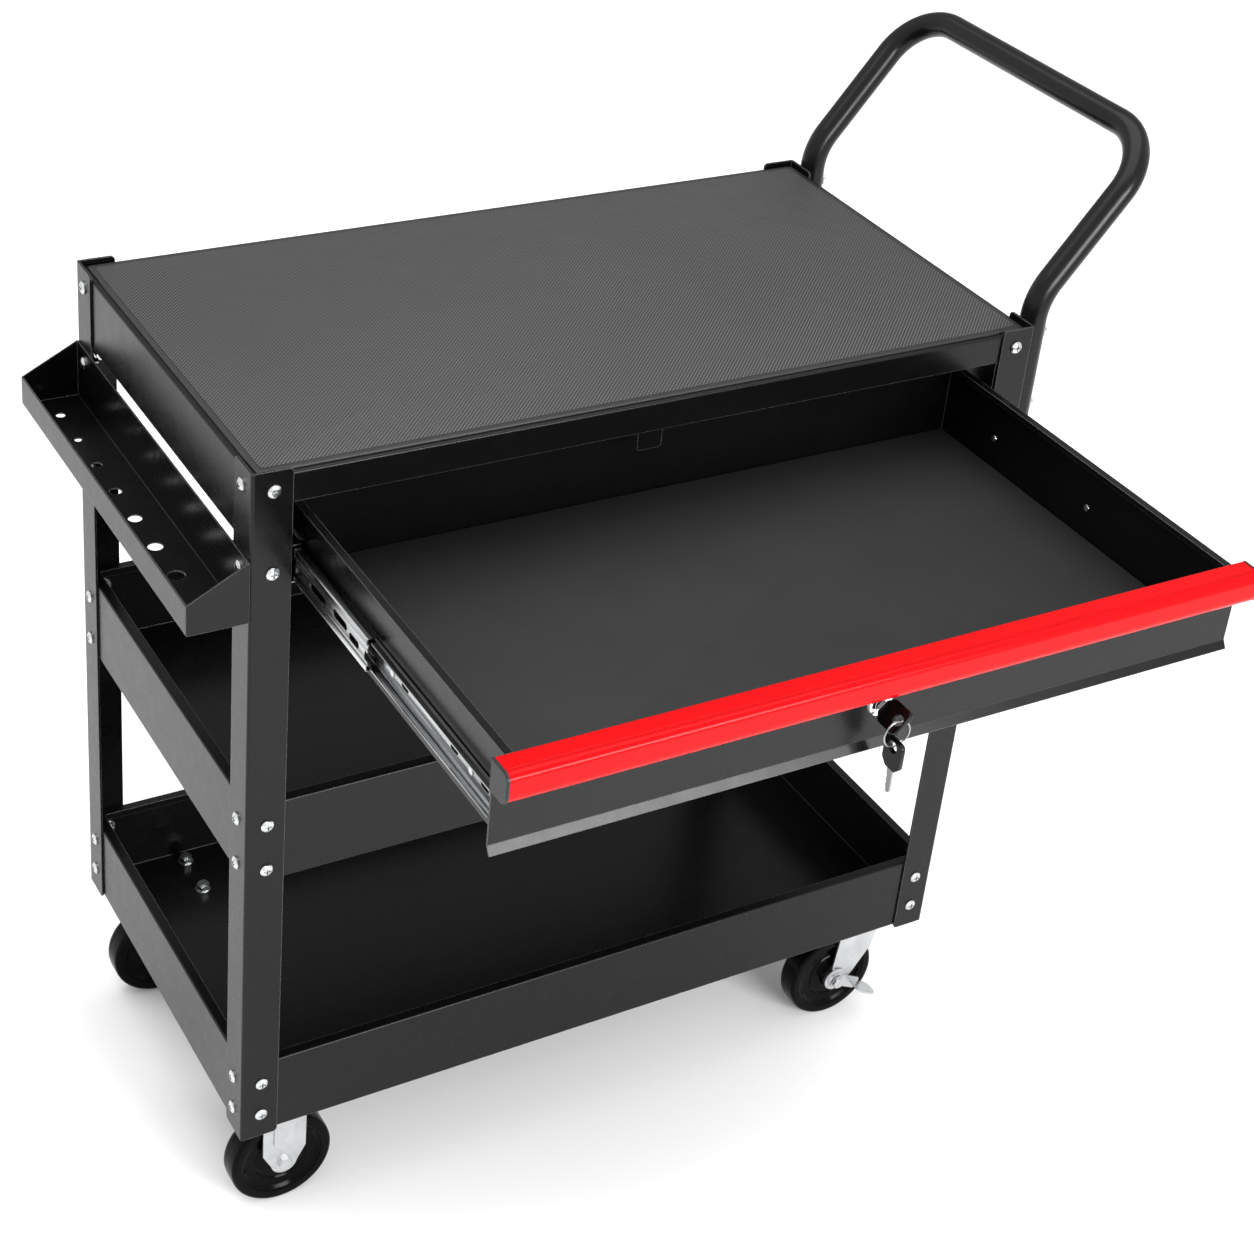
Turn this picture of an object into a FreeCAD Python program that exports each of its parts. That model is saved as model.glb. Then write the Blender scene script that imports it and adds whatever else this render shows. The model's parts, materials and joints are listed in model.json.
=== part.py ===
"""Rolling tool cart: a bolted steel frame on four casters, two open trays, a covered drawer cabinet with a
textured work mat, a tool rack on the left end and a tubular push handle on the right end.

Frame: +Z up, +X towards the push handle, -Y towards the side that the drawer opens on. The origin is on the
floor, under the middle of the bolted frame. Millimetres. The drawer is modelled pulled out.
"""
import FreeCAD, Part
import math
import os
from FreeCAD import Vector

# ---------------------------------------------------------------- driving dimensions
FRAME_LENGTH = 762.0        # over the legs, along X
FRAME_DEPTH = 406.0         # over the legs, along Y
LEG_BOTTOM = 124.0
LEG_TOP = 821.0
LEG_FLANGE = 35.0
LEG_SHEET = 2.0
SHEET = 1.2                 # trays, top, rack, brackets
TRAY_DEPTH = 82.0
TRAY_LIP = 10.0             # width of the hem around a tray's mouth
TRAY_LIP_DROP = 6.0
BOTTOM_TRAY_Z = 127.0
MIDDLE_TRAY_Z = 417.0
TOP_SURFACE_Z = 816.0       # upper face of the cabinet's steel top
TOP_SIDE_APRON = 66.0
TOP_FRONT_APRON = 27.0
MAT_SHEET = 2.0
MAT_INSET = 5.0
HOLE_INSET = 19.0           # from a leg's corner to its screw holes
LOWER_SCREW_Z = (150.5, 187.5, 431.5, 478.5)
RACK_SCREW_Z = 728.0
TOP_SCREW_Z = 803.0

DRAWER_OPEN = 336.0         # how far the drawer is pulled out here
DRAWER_SIDE_GAP = 48.7      # from the frame's end to the drawer's side: bracket and 12.7 mm slide
DRAWER_BACK_Y = 383.0       # outer back of the closed drawer, from the frame's front
DRAWER_FLOOR_Z = 699.0
DRAWER_SIDE_TOP_Z = 771.5
DRAWER_INNER_TOP_Z = 760.0  # top of the box's own front wall, behind the front panel
DRAWER_HEM = 7.0
FRONT_PANEL_INSET = 39.0
FRONT_PANEL_BOTTOM_Z = 698.0
FRONT_PANEL_TOP_Z = 773.0
FRONT_LIP_OUT = 4.2         # the panel's lower lip leans out by this
FRONT_LIP_DROP = 7.5
PULL_DEPTH = 24.0
PULL_HEIGHT = 26.5
PULL_WALL = 2.0
PULL_GROOVE_Y = 15.5        # the crease along the pull's top, from the front panel
PULL_CAP = 2.5
LOCK_X = -14.0
LOCK_Z = 731.0
KEY_TILT = 45.0             # the key's angle from upright here, at the unlocked end of its quarter turn
CAM_TILT = 90.0             # the cam's angle from upright here: level, clear of its keeper
CAM_REACH = 40.0
CAM_WIDTH = 14.0
LOCK_BARREL_RADIUS = 8.5
LOCK_PLUG_RADIUS = 5.5
KEY_BOW_LENGTH = 27.0
KEY_BOW_WIDTH = 22.0
KEY_BOW_SHEET = 4.0
KEY_HOLE_RADIUS = 4.5
KEY_HOLE_FROM_END = 6.6
RING_RADIUS = 11.5
RING_WIRE = 0.8

SLIDE_Z = 729.0
SLIDE_X = 36.0              # from the frame's end to the slide's outer face
SLIDE_LENGTH = 350.0
SLIDE_START_Y = 6.0
MIDDLE_LENGTH = 300.0
MIDDLE_START_Y = 35.0       # of the closed middle member, from the frame's front
OUTER_HALF = 17.6           # half the height of each slide member
MIDDLE_HALF = 14.8
INNER_HALF = 12.2
RIVET_YS = (45.0, 175.0, 308.0)

RACK_DEPTH = 53.0
RACK_BOTTOM_Z = 686.0
RACK_BACK_HEIGHT = 56.0
RACK_LIP_HEIGHT = 28.0
RACK_HOLE_RADII = (7.5, 6.5, 6.0, 5.25, 4.75, 3.5, 4.25)
RACK_HOLE_FIRST_Y = 85.0
RACK_HOLE_PITCH = 48.0
RACK_HOLE_OUT = 28.5

TUBE_RADIUS = 12.5
TUBE_WALL = 1.5
HANDLE_FOOT_Z = 709.0
HANDLE_KNEE_Z = 839.0
HANDLE_REACH = 110.5        # from the upright part of the arms to the cross bar
HANDLE_RISE = 138.0         # from the knee to the cross bar
HANDLE_KNEE_BEND = 60.0
HANDLE_TOP_BEND = 55.0

WHEEL_RADIUS = 50.0
WHEEL_WIDTH = 25.0
CASTER_INSET_X = 55.5
CASTER_INSET_Y = 44.0
CASTER_TRAIL = 24.5
PLATE_LENGTH = 98.0
PLATE_WIDTH = 66.0
PLATE_SHEET = 2.5
PLATE_HOLES = (40.0, 24.0)
FORK_SHEET = 2.2
FORK_GAP = 29.0
AXLE_RADIUS = 4.0

# ---------------------------------------------------------------- derived places
LEFT, RIGHT = -FRAME_LENGTH / 2, FRAME_LENGTH / 2
FRONT, BACK = -FRAME_DEPTH / 2, FRAME_DEPTH / 2
X_AXIS, Y_AXIS, Z_AXIS = Vector(1, 0, 0), Vector(0, 1, 0), Vector(0, 0, 1)
ORIGIN = Vector(0, 0, 0)
PANEL_Y = FRONT - DRAWER_OPEN               # outer face of the pulled-out drawer's front panel
PLATE_TOP_Z = BOTTOM_TRAY_Z
PLATE_Z = PLATE_TOP_Z - PLATE_SHEET
FORK_HALF = FORK_GAP / 2 + FORK_SHEET
M6_RADIUS, M6_HOLE = 3.0, 3.2
M8_HOLE = 4.3


# ---------------------------------------------------------------- helpers
def box(x0, x1, y0, y1, z0, z1):
    return Part.makeBox(x1 - x0, y1 - y0, z1 - z0, Vector(x0, y0, z0))


def cylinder(radius, height, base, direction):
    return Part.makeCylinder(radius, height, base, direction)


def prism(points, direction):
    """A closed outline of points, pushed along direction."""
    return Part.Face(Part.makePolygon(points + points[:1])).extrude(direction)


def revolved(profile, base, direction):
    """A closed outline of (radius, height) pairs, turned about direction at base."""
    face = Part.Face(Part.makePolygon([Vector(r, 0, h) for r, h in profile + profile[:1]]))
    solid = face.revolve(ORIGIN, Z_AXIS, 360)
    solid.Placement = FreeCAD.Placement(base, FreeCAD.Rotation(Z_AXIS, direction))
    return solid


def edges_where(shape, axis, test):
    """Straight edges of shape along axis whose middle point passes test."""
    found = []
    for edge in shape.Edges:
        if not isinstance(edge.Curve, Part.Line):
            continue
        run = edge.Vertexes[-1].Point - edge.Vertexes[0].Point
        if run.cross(axis).Length < 1e-6 * run.Length and test(edge.BoundBox.Center):
            found.append(edge)
    return found


def rounded(shape, radius, axis, test=lambda p: True):
    return shape.makeFillet(radius, edges_where(shape, axis, test))


def mirrored_x(shape):
    return shape.mirror(ORIGIN, X_AXIS)


def mirrored_y(shape):
    return shape.mirror(ORIGIN, Y_AXIS)


def turned(shape, centre, axis, degrees):
    copy = shape.copy()
    copy.rotate(centre, axis, degrees)
    return copy


def group(shapes):
    return Part.makeCompound(shapes)


def export(name, shape):
    shape.exportStep("parts/" + name + ".step")


# ---------------------------------------------------------------- fasteners
def pan_screw(at, outward, grip):
    """An M6 pan head screw with a cross recess; its head sits on the surface at the point `at`."""
    head_radius, head_height, crown = 5.9, 3.4, 2.2
    profile = [(0, -grip), (M6_RADIUS - 0.5, -grip), (M6_RADIUS, -grip + 0.5), (M6_RADIUS, 0),
               (head_radius, 0), (head_radius, 1.3), (head_radius - 0.9, crown),
               (head_radius - 2.6, head_height - 0.3), (0, head_height)]
    screw = revolved(profile, ORIGIN, Z_AXIS)
    arm, half_width, recess = 2.9, 0.65, 1.9
    for bar in (box(-arm, arm, -half_width, half_width, head_height - recess, head_height + 1),
                box(-half_width, half_width, -arm, arm, head_height - recess, head_height + 1)):
        screw = screw.cut(bar)
    screw.Placement = FreeCAD.Placement(at, FreeCAD.Rotation(Z_AXIS, outward))
    return screw


def hexagon(across_flats, height, base, direction):
    corner = across_flats / math.sqrt(3)
    points = [Vector(corner * math.cos(math.radians(60 * k)), corner * math.sin(math.radians(60 * k)), 0)
              for k in range(6)]
    nut = prism(points, Vector(0, 0, height))
    chamfer_profile = [(corner * 0.9, height), (corner * 1.2, height), (corner * 1.2, height - corner * 0.3)]
    chamfer = revolved(chamfer_profile, ORIGIN, Z_AXIS)
    nut = nut.cut(chamfer)
    nut.Placement = FreeCAD.Placement(base, FreeCAD.Rotation(Z_AXIS, direction))
    return nut


def flange_nut(at, outward, thread, across_flats, height):
    """A nut whose washer face lies on the surface at the point `at`."""
    washer, washer_height = across_flats * 0.65, 1.3
    nut = hexagon(across_flats, height, at, outward).fuse(cylinder(washer, washer_height, at, outward))
    return nut.cut(cylinder(thread + 0.05, height + 2, at - outward, outward)).removeSplitter()


def hex_bolt(at, outward, thread, across_flats, head_height, length):
    """A bolt whose head sits on the surface at the point `at`; its shank runs the other way."""
    shank = cylinder(thread, length, at, -outward)
    return hexagon(across_flats, head_height, at, outward).fuse(shank).removeSplitter()


# ---------------------------------------------------------------- frame
def leg_holes():
    """Where the front left leg is drilled: (point, direction) for each hole."""
    heights = LOWER_SCREW_Z + (RACK_SCREW_Z, TOP_SCREW_Z)
    front = [(Vector(LEFT + HOLE_INSET, FRONT, z), -Y_AXIS) for z in heights]
    side = [(Vector(LEFT, FRONT + HOLE_INSET, z), -X_AXIS) for z in heights]
    return front + side


def through_holes(places, radius, depth=10.0):
    return group([cylinder(radius, 2 * depth, at + outward * depth, -outward) for at, outward in places])


def mirrored_places(places, flip_x, flip_y):
    """The same holes on the leg at another corner."""
    def flip(v):
        return Vector(-v.x if flip_x else v.x, -v.y if flip_y else v.y, v.z)
    return [(flip(at), flip(outward)) for at, outward in places]


def leg():
    """The front left leg: an angle with a rounded bend and rounded flange corners."""
    bend, corner = 2.6, 4.0
    outer = box(LEFT, LEFT + LEG_FLANGE, FRONT, FRONT + LEG_FLANGE, LEG_BOTTOM, LEG_TOP)
    inner = box(LEFT + LEG_SHEET, RIGHT, FRONT + LEG_SHEET, BACK, LEG_BOTTOM - 1, LEG_TOP + 1)
    angle = outer.cut(inner)
    angle = rounded(angle, bend, Z_AXIS, lambda p: p.x < LEFT + 0.1 and p.y < FRONT + 0.1)
    angle = rounded(angle, corner, Y_AXIS, lambda p: p.x > LEFT + LEG_FLANGE - 0.1)
    angle = rounded(angle, corner, X_AXIS, lambda p: p.y > FRONT + LEG_FLANGE - 0.1)
    return angle.cut(through_holes(leg_holes(), M6_HOLE))


def all_leg_holes():
    corners = [(False, False), (True, False), (False, True), (True, True)]
    return [place for flips in corners for place in mirrored_places(leg_holes(), *flips)]


def inset_box(inset, z0, z1):
    """A block inside the legs, its four sides inset from the trays' outer faces."""
    edge = LEG_SHEET + inset
    return box(LEFT + edge, RIGHT - edge, FRONT + edge, BACK - edge, z0, z1)


def tray(bottom):
    """A folded pan with a hem around its mouth."""
    bend, inner_bend, mouth_corner = 2.0, 0.8, 3.0
    top = bottom + TRAY_DEPTH
    block = inset_box(0, bottom, top)
    block = block.makeFillet(bend, block.Edges)
    cavity = inset_box(SHEET, bottom + SHEET, top - SHEET)
    cavity = cavity.makeFillet(inner_bend, cavity.Edges)
    mouth = rounded(inset_box(TRAY_LIP, bottom + TRAY_DEPTH / 2, top + 1), mouth_corner, Z_AXIS)
    drop = inset_box(TRAY_LIP - SHEET, top - SHEET - TRAY_LIP_DROP, top - SHEET / 2)
    drop = rounded(drop, mouth_corner + SHEET, Z_AXIS).cut(mouth)
    pan = block.cut(cavity).cut(mouth).fuse(drop).removeSplitter()
    return pan.cut(through_holes(all_leg_holes(), M6_HOLE, 14.0))


def caster_centres():
    return [(sx * (RIGHT - CASTER_INSET_X), sy * (BACK - CASTER_INSET_Y)) for sx in (-1, 1) for sy in (-1, 1)]


def plate_hole_places(cx, cy):
    dx, dy = PLATE_HOLES
    return [(cx + sx * dx, cy + sy * dy) for sx in (-1, 1) for sy in (-1, 1)]


def bottom_tray():
    pan = tray(BOTTOM_TRAY_Z)
    holes = [cylinder(M8_HOLE, 20, Vector(x, y, BOTTOM_TRAY_Z - 10), Z_AXIS)
             for centre in caster_centres() for x, y in plate_hole_places(*centre)]
    return pan.cut(group(holes))


def top_panel():
    """The cabinet's steel top: deep aprons at the ends and back, and a narrow one above the drawer."""
    bend, inner_bend = 2.2, 1.0
    bottom = TOP_SURFACE_Z - TOP_SIDE_APRON
    block = inset_box(0, bottom, TOP_SURFACE_Z)
    block = rounded(block, bend, Z_AXIS)
    block = block.makeFillet(bend, [e for e in block.Edges if e.BoundBox.ZMin > TOP_SURFACE_Z - 0.1])
    cavity = inset_box(SHEET, bottom - 1, TOP_SURFACE_Z - SHEET)
    cavity = cavity.makeFillet(inner_bend, [e for e in cavity.Edges if e.BoundBox.ZMin > bottom])
    pan = block.cut(cavity)
    rail_bottom = TOP_SURFACE_Z - TOP_FRONT_APRON
    pan = pan.cut(box(LEFT + 4, RIGHT - 4, FRONT - 1, FRONT + 6, bottom - 2, rail_bottom))
    rail_return = box(LEFT + LEG_FLANGE + 2, RIGHT - LEG_FLANGE - 2, FRONT + LEG_SHEET + 0.6, FRONT + 14,
                      rail_bottom, rail_bottom + SHEET)
    pan = pan.fuse(rail_return)
    return pan.cut(through_holes(all_leg_holes(), M6_HOLE, 14.0)).removeSplitter()


def top_mat():
    corner, edge = 4.0, 0.8
    mat = inset_box(MAT_INSET, TOP_SURFACE_Z, TOP_SURFACE_Z + MAT_SHEET)
    mat = rounded(mat, corner, Z_AXIS)
    return mat.makeFillet(edge, [e for e in mat.Edges if e.BoundBox.ZMin > TOP_SURFACE_Z + MAT_SHEET - 0.1])


def slide_bracket():
    """The left bracket between the front and rear legs that carries a drawer slide."""
    face = FRONT + LEG_SHEET + SHEET
    web_x = LEFT + SLIDE_X
    low, high = SLIDE_Z - 23.0, TOP_SURFACE_Z - SHEET - 1.0
    web = box(web_x - SHEET, web_x, face, -face, low, high)
    front = box(LEFT + 6, web_x, face, face + SHEET, low, high)
    bracket = web.fuse([front, mirrored_y(front)]).removeSplitter()
    return bracket.cut(through_holes(all_leg_holes(), M6_HOLE, 14.0))


def lock_keeper():
    """The tab under the cabinet's top that the drawer lock's cam turns up behind."""
    half_width, tab_bottom = 12.0, 764.0
    x0, x1 = LOCK_X - half_width, LOCK_X + half_width
    foot_y, tab_y = FRONT + 4, FRONT + 14.4
    under = TOP_SURFACE_Z - SHEET
    foot = box(x0, x1, foot_y, tab_y + SHEET, under - SHEET, under)
    tab = box(x0, x1, tab_y, tab_y + SHEET, tab_bottom, under)
    return rounded(foot.fuse(tab).removeSplitter(), 3.0, Y_AXIS, lambda p: p.z < tab_bottom + 0.1)


def frame_fasteners():
    """(screws, nuts) of the frame: every leg hole except those that the push handle's bolts use."""
    screws, nuts = [], []
    side_stack, end_stack = LEG_SHEET + SHEET, LEG_SHEET + 2 * SHEET
    for at, outward in all_leg_holes():
        on_side = abs(outward.x) > 0.5
        high = at.z > RACK_SCREW_Z - 1
        if on_side and high and outward.x > 0:
            continue
        rack = on_side and outward.x < 0 and abs(at.z - RACK_SCREW_Z) < 1
        seat = at + outward * (SHEET if rack else 0)
        stack = LEG_SHEET if rack else (end_stack if high and not on_side else side_stack)
        screws.append(pan_screw(seat, outward, 12.0 + (SHEET if rack else 0)))
        nuts.append(flange_nut(at - outward * stack, -outward, M6_RADIUS, 10.0, 5.0))
    return group(screws), group(nuts)


# ---------------------------------------------------------------- tool rack and push handle
def tool_rack():
    """A trough that hangs on the left legs, with graded holes for screwdrivers."""
    out = LEFT - RACK_DEPTH
    y0, y1 = FRONT, BACK
    bottom, lip = RACK_BOTTOM_Z, RACK_BOTTOM_Z + RACK_LIP_HEIGHT
    top = RACK_BOTTOM_Z + RACK_BACK_HEIGHT
    section = [(LEFT, bottom), (LEFT, top), (LEFT - SHEET, top), (out, lip), (out, bottom)]
    block = prism([Vector(x, y0, z) for x, z in section], Vector(0, y1 - y0, 0))
    block = rounded(block, 1.8, Y_AXIS, lambda p: p.z < bottom + 0.1)
    inner = [(LEFT - SHEET, bottom + SHEET), (LEFT - SHEET, top + 1), (out + SHEET, top + 1),
             (out + SHEET, bottom + SHEET)]
    hollow = prism([Vector(x, y0 + SHEET, z) for x, z in inner], Vector(0, y1 - y0 - 2 * SHEET, 0))
    hollow = rounded(hollow, 1.0, Y_AXIS, lambda p: p.z < bottom + 5)
    rack = block.cut(hollow)
    first_hole = Vector(LEFT - RACK_HOLE_OUT, FRONT + RACK_HOLE_FIRST_Y, bottom - 5)
    holes = [cylinder(radius, 10, first_hole + Y_AXIS * (k * RACK_HOLE_PITCH), Z_AXIS)
             for k, radius in enumerate(RACK_HOLE_RADII)]
    screw_holes = [cylinder(M6_HOLE, 8, Vector(LEFT - 4, sy * (BACK - HOLE_INSET), RACK_SCREW_Z), X_AXIS)
                   for sy in (-1, 1)]
    return rack.cut(group(holes + screw_holes))


def handle_path():
    """The push handle's centre line: two uprights, two leaning arms and a cross bar."""
    upright_x = RIGHT + TUBE_RADIUS
    bar_x, bar_z = upright_x + HANDLE_REACH, HANDLE_KNEE_Z + HANDLE_RISE
    arm_y = BACK - HOLE_INSET
    corners = [Vector(upright_x, -arm_y, HANDLE_FOOT_Z), Vector(upright_x, -arm_y, HANDLE_KNEE_Z),
               Vector(bar_x, -arm_y, bar_z), Vector(bar_x, arm_y, bar_z),
               Vector(upright_x, arm_y, HANDLE_KNEE_Z), Vector(upright_x, arm_y, HANDLE_FOOT_Z)]
    bends = [HANDLE_KNEE_BEND, HANDLE_TOP_BEND, HANDLE_TOP_BEND, HANDLE_KNEE_BEND]
    edges, start = [], corners[0]
    for before, corner, after, radius in zip(corners, corners[1:], corners[2:], bends):
        come, go = (corner - before).normalize(), (after - corner).normalize()
        half_turn = come.getAngle(go) / 2
        tangent = radius * math.tan(half_turn)
        enter, leave = corner - come * tangent, corner + go * tangent
        centre_way = (go - come).normalize()
        middle = corner + centre_way * (radius / math.cos(half_turn) - radius)
        edges += [Part.LineSegment(start, enter).toShape(), Part.Arc(enter, middle, leave).toShape()]
        start = leave
    edges.append(Part.LineSegment(start, corners[-1]).toShape())
    return Part.Wire(edges)


def handle_bolt_places():
    return [(Vector(RIGHT + 2 * TUBE_RADIUS, sy * (BACK - HOLE_INSET), z), X_AXIS)
            for sy in (-1, 1) for z in (RACK_SCREW_Z, TOP_SCREW_Z)]


def push_handle():
    path = handle_path()
    foot = Vector(RIGHT + TUBE_RADIUS, -(BACK - HOLE_INSET), HANDLE_FOOT_Z)
    solids = [path.makePipeShell([Part.Wire(Part.makeCircle(radius, foot, Z_AXIS))], True, False)
              for radius in (TUBE_RADIUS, TUBE_RADIUS - TUBE_WALL)]
    tube = solids[0].cut(solids[1])
    bolt_holes = [cylinder(M6_HOLE, 30, at + X_AXIS * 2, -X_AXIS) for at, _ in handle_bolt_places()]
    return tube.cut(group(bolt_holes))


def handle_bolts():
    length = 2 * TUBE_RADIUS + 13
    places = handle_bolt_places()
    return group([hex_bolt(at, outward, M6_RADIUS, 10.0, 4.0, length) for at, outward in places])


def handle_nuts():
    nuts = []
    for at, _ in handle_bolt_places():
        stack = LEG_SHEET + (SHEET if at.z > RACK_SCREW_Z + 1 else 0)
        nuts.append(flange_nut(Vector(RIGHT - stack, at.y, at.z), -X_AXIS, M6_RADIUS, 10.0, 5.0))
    return nuts


def handle_plugs():
    """Plastic plugs that close the handle's open feet."""
    rim, bore = TUBE_RADIUS - 0.2, TUBE_RADIUS - TUBE_WALL - 0.05
    profile = [(0, -2.5), (rim - 1.0, -2.5), (rim, -1.5), (rim, 0), (bore, 0), (bore, 9),
               (bore - 1.95, 11), (0, 11)]
    feet = [Vector(RIGHT + TUBE_RADIUS, sy * (BACK - HOLE_INSET), HANDLE_FOOT_Z) for sy in (-1, 1)]
    return group([revolved(profile, foot, Z_AXIS) for foot in feet])


# ---------------------------------------------------------------- drawer
def drawer_box():
    """The drawer's folded box: hemmed sides and back, and a lower front wall behind the front panel."""
    x0, x1 = LEFT + DRAWER_SIDE_GAP, RIGHT - DRAWER_SIDE_GAP
    y0, y1 = PANEL_Y + SHEET, FRONT + DRAWER_BACK_Y - DRAWER_OPEN
    z0, z1 = DRAWER_FLOOR_Z, DRAWER_SIDE_TOP_Z
    block = rounded(box(x0, x1, y0, y1, z0, z1), 1.6, Z_AXIS)
    block = block.makeFillet(1.6, [e for e in block.Edges if e.BoundBox.ZMax < z0 + 0.1])
    cavity = box(x0 + SHEET, x1 - SHEET, y0 + SHEET, y1 - SHEET, z0 + SHEET, z1 - SHEET)
    cavity = cavity.makeFillet(0.8, cavity.Edges)
    mouth = box(x0 + DRAWER_HEM, x1 - DRAWER_HEM, y0 - 1, y1 - DRAWER_HEM, z0 + 20, z1 + 1)
    pan = block.cut(cavity)
    front_cut = box(x0 + SHEET, x1 - SHEET, y0 - 1, y0 + 1.5 * SHEET, DRAWER_INNER_TOP_Z, z1 + 1)
    pan = pan.cut(mouth.common(box(x0, x1, y0 + 1.5 * SHEET, y1, z0, z1 + 1))).cut(front_cut)
    hem_x0, hem_x1, hem_y = x0 + DRAWER_HEM, x1 - DRAWER_HEM, y1 - DRAWER_HEM
    hem_low, hem_high = z1 - 5.0, z1 - SHEET / 2
    hems = [box(hem_x0 - SHEET, hem_x0, y0 + 1.5 * SHEET, y1 - SHEET, hem_low, hem_high),
            box(hem_x1, hem_x1 + SHEET, y0 + 1.5 * SHEET, y1 - SHEET, hem_low, hem_high),
            box(hem_x0, hem_x1, hem_y, hem_y + SHEET, hem_low, hem_high)]
    pan = pan.fuse(hems)
    pan = pan.cut(lock_hole(y0 - 4))
    holes = [cylinder(2.1, 6, Vector(side, y, SLIDE_Z) - X_AXIS * 3, X_AXIS)
             for side in (x0, x1) for y in rivet_ys()]
    return pan.cut(group(holes)).removeSplitter()


def rivet_ys():
    return [FRONT + y - DRAWER_OPEN for y in RIVET_YS]


def lock_hole(y):
    """The clearance hole for the lock's barrel, from y inward."""
    return cylinder(LOCK_BARREL_RADIUS + 0.3, 10, Vector(LOCK_X, y, LOCK_Z), Y_AXIS)


def drawer_front():
    """The front panel, whose lower edge leans out as a lip."""
    x0, x1 = LEFT + FRONT_PANEL_INSET, RIGHT - FRONT_PANEL_INSET
    y, z0, z1 = PANEL_Y, FRONT_PANEL_BOTTOM_Z, FRONT_PANEL_TOP_Z
    lip_z = z0 - FRONT_LIP_DROP
    section = [(y, z1), (y + SHEET, z1), (y + SHEET, z0 - 0.3), (y + SHEET - FRONT_LIP_OUT, lip_z),
               (y - FRONT_LIP_OUT, lip_z + 0.5), (y, z0)]
    panel = prism([Vector(x0, a, b) for a, b in section], Vector(x1 - x0, 0, 0))
    return panel.cut(lock_hole(y - 4))


def pull_outline(inset, back):
    """The drawer pull's section: flat back and top, rounded front, with its wall inset."""
    y0 = PANEL_Y - back
    y1 = PANEL_Y - PULL_DEPTH + inset
    top, bottom = FRONT_PANEL_TOP_Z + 1 - inset, FRONT_PANEL_TOP_Z + 1 - PULL_HEIGHT + inset
    upper, lower = 6.0 - inset / 2, 9.0 - inset / 2
    lines = [((y0, bottom), (y0, top)), ((y0, top), (y1 + upper, top)),
             ((y1, top - upper), (y1, bottom + lower)), ((y1 + lower, bottom), (y0, bottom))]
    k = 1 - math.sqrt(0.5)
    arcs = [((y1 + upper, top), (y1 + k * upper, top - k * upper), (y1, top - upper)),
            ((y1, bottom + lower), (y1 + k * lower, bottom + k * lower), (y1 + lower, bottom))]
    def at(p, x):
        return Vector(x, p[0], p[1])
    return lines, arcs, at


def pull_solid(inset, back, x0, x1):
    lines, arcs, at = pull_outline(inset, back)
    edges = [Part.LineSegment(at(a, x0), at(b, x0)).toShape() for a, b in lines]
    edges += [Part.Arc(at(a, x0), at(b, x0), at(c, x0)).toShape() for a, b, c in arcs]
    wire = Part.Wire(Part.__sortEdges__(edges))
    return Part.Face(wire).extrude(Vector(x1 - x0, 0, 0))


def pull_ends():
    return LEFT + FRONT_PANEL_INSET - 2, RIGHT - FRONT_PANEL_INSET + 2


def drawer_pull():
    """A hollow pull, open underneath behind its lower lip so that fingers can hook in."""
    x0, x1 = pull_ends()
    x0, x1 = x0 + PULL_CAP, x1 - PULL_CAP
    shell = pull_solid(0, 0, x0, x1).cut(pull_solid(PULL_WALL, PULL_WALL, x0 - 1, x1 + 1))
    groove_radius, groove_depth = 1.5, 0.8
    groove_z = FRONT_PANEL_TOP_Z + 1 + groove_radius - groove_depth
    shell = shell.cut(cylinder(groove_radius, x1 - x0, Vector(x0, PANEL_Y - PULL_GROOVE_Y, groove_z), X_AXIS))
    bottom = FRONT_PANEL_TOP_Z + 1 - PULL_HEIGHT
    slot = box(x0 - 1, x1 + 1, PANEL_Y - 13.5, PANEL_Y - PULL_WALL, bottom - 1, bottom + PULL_WALL + 1)
    return shell.cut(slot)


def pull_caps():
    x0, x1 = pull_ends()
    caps = []
    for a, b, edge in ((x0, x0 + PULL_CAP, x0), (x1 - PULL_CAP, x1, x1)):
        cap = pull_solid(-0.4, 0, a, b)
        caps.append(cap.makeFillet(0.8, [e for e in cap.Edges if abs(e.BoundBox.XMin - edge) < 0.01
                                         and abs(e.BoundBox.XMax - edge) < 0.01]))
    return group(caps)


def drawer_liner():
    x0, x1 = LEFT + DRAWER_SIDE_GAP + SHEET + 1, RIGHT - DRAWER_SIDE_GAP - SHEET - 1
    y0, y1 = PANEL_Y + 2 * SHEET + 1, FRONT + DRAWER_BACK_Y - DRAWER_OPEN - SHEET - 1
    return box(x0, x1, y0, y1, DRAWER_FLOOR_Z + SHEET, DRAWER_FLOOR_Z + SHEET + 1.5)


# ---------------------------------------------------------------- drawer slides: the left one
def channel(x_web, web, x_tip, half_height, y0, y1):
    """A C-shaped slide member: a web at x_web and flanges that reach to x_tip, with curled tips."""
    lo, hi = min(x_web, x_tip), max(x_web, x_tip)
    block = box(lo, hi, y0, y1, SLIDE_Z - half_height, SLIDE_Z + half_height)
    block = rounded(block, 1.4, Y_AXIS, lambda p: abs(p.x - x_web) < 0.1)
    toward = 1 if x_tip > x_web else -1
    a, b = sorted((x_web + toward * web, x_tip + toward * 5))
    hollow = box(a, b, y0 - 1, y1 + 1, SLIDE_Z - half_height + web, SLIDE_Z + half_height - web)
    return block.cut(hollow)


def recessed_web(x, toward, web, step, half, y0, y1):
    """The shallow step that sets the middle of a member's web back by step, between its ball races."""
    inner = x + toward * (web + step)
    a, b = sorted((x + toward * step, inner))
    strip = box(a, b, y0, y1, SLIDE_Z - half, SLIDE_Z + half)
    a, b = sorted((x, inner))
    walls = [box(a, b, y0, y1, SLIDE_Z + s * half - web / 2, SLIDE_Z + s * half + web / 2) for s in (-1, 1)]
    return strip.fuse(walls)


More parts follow.
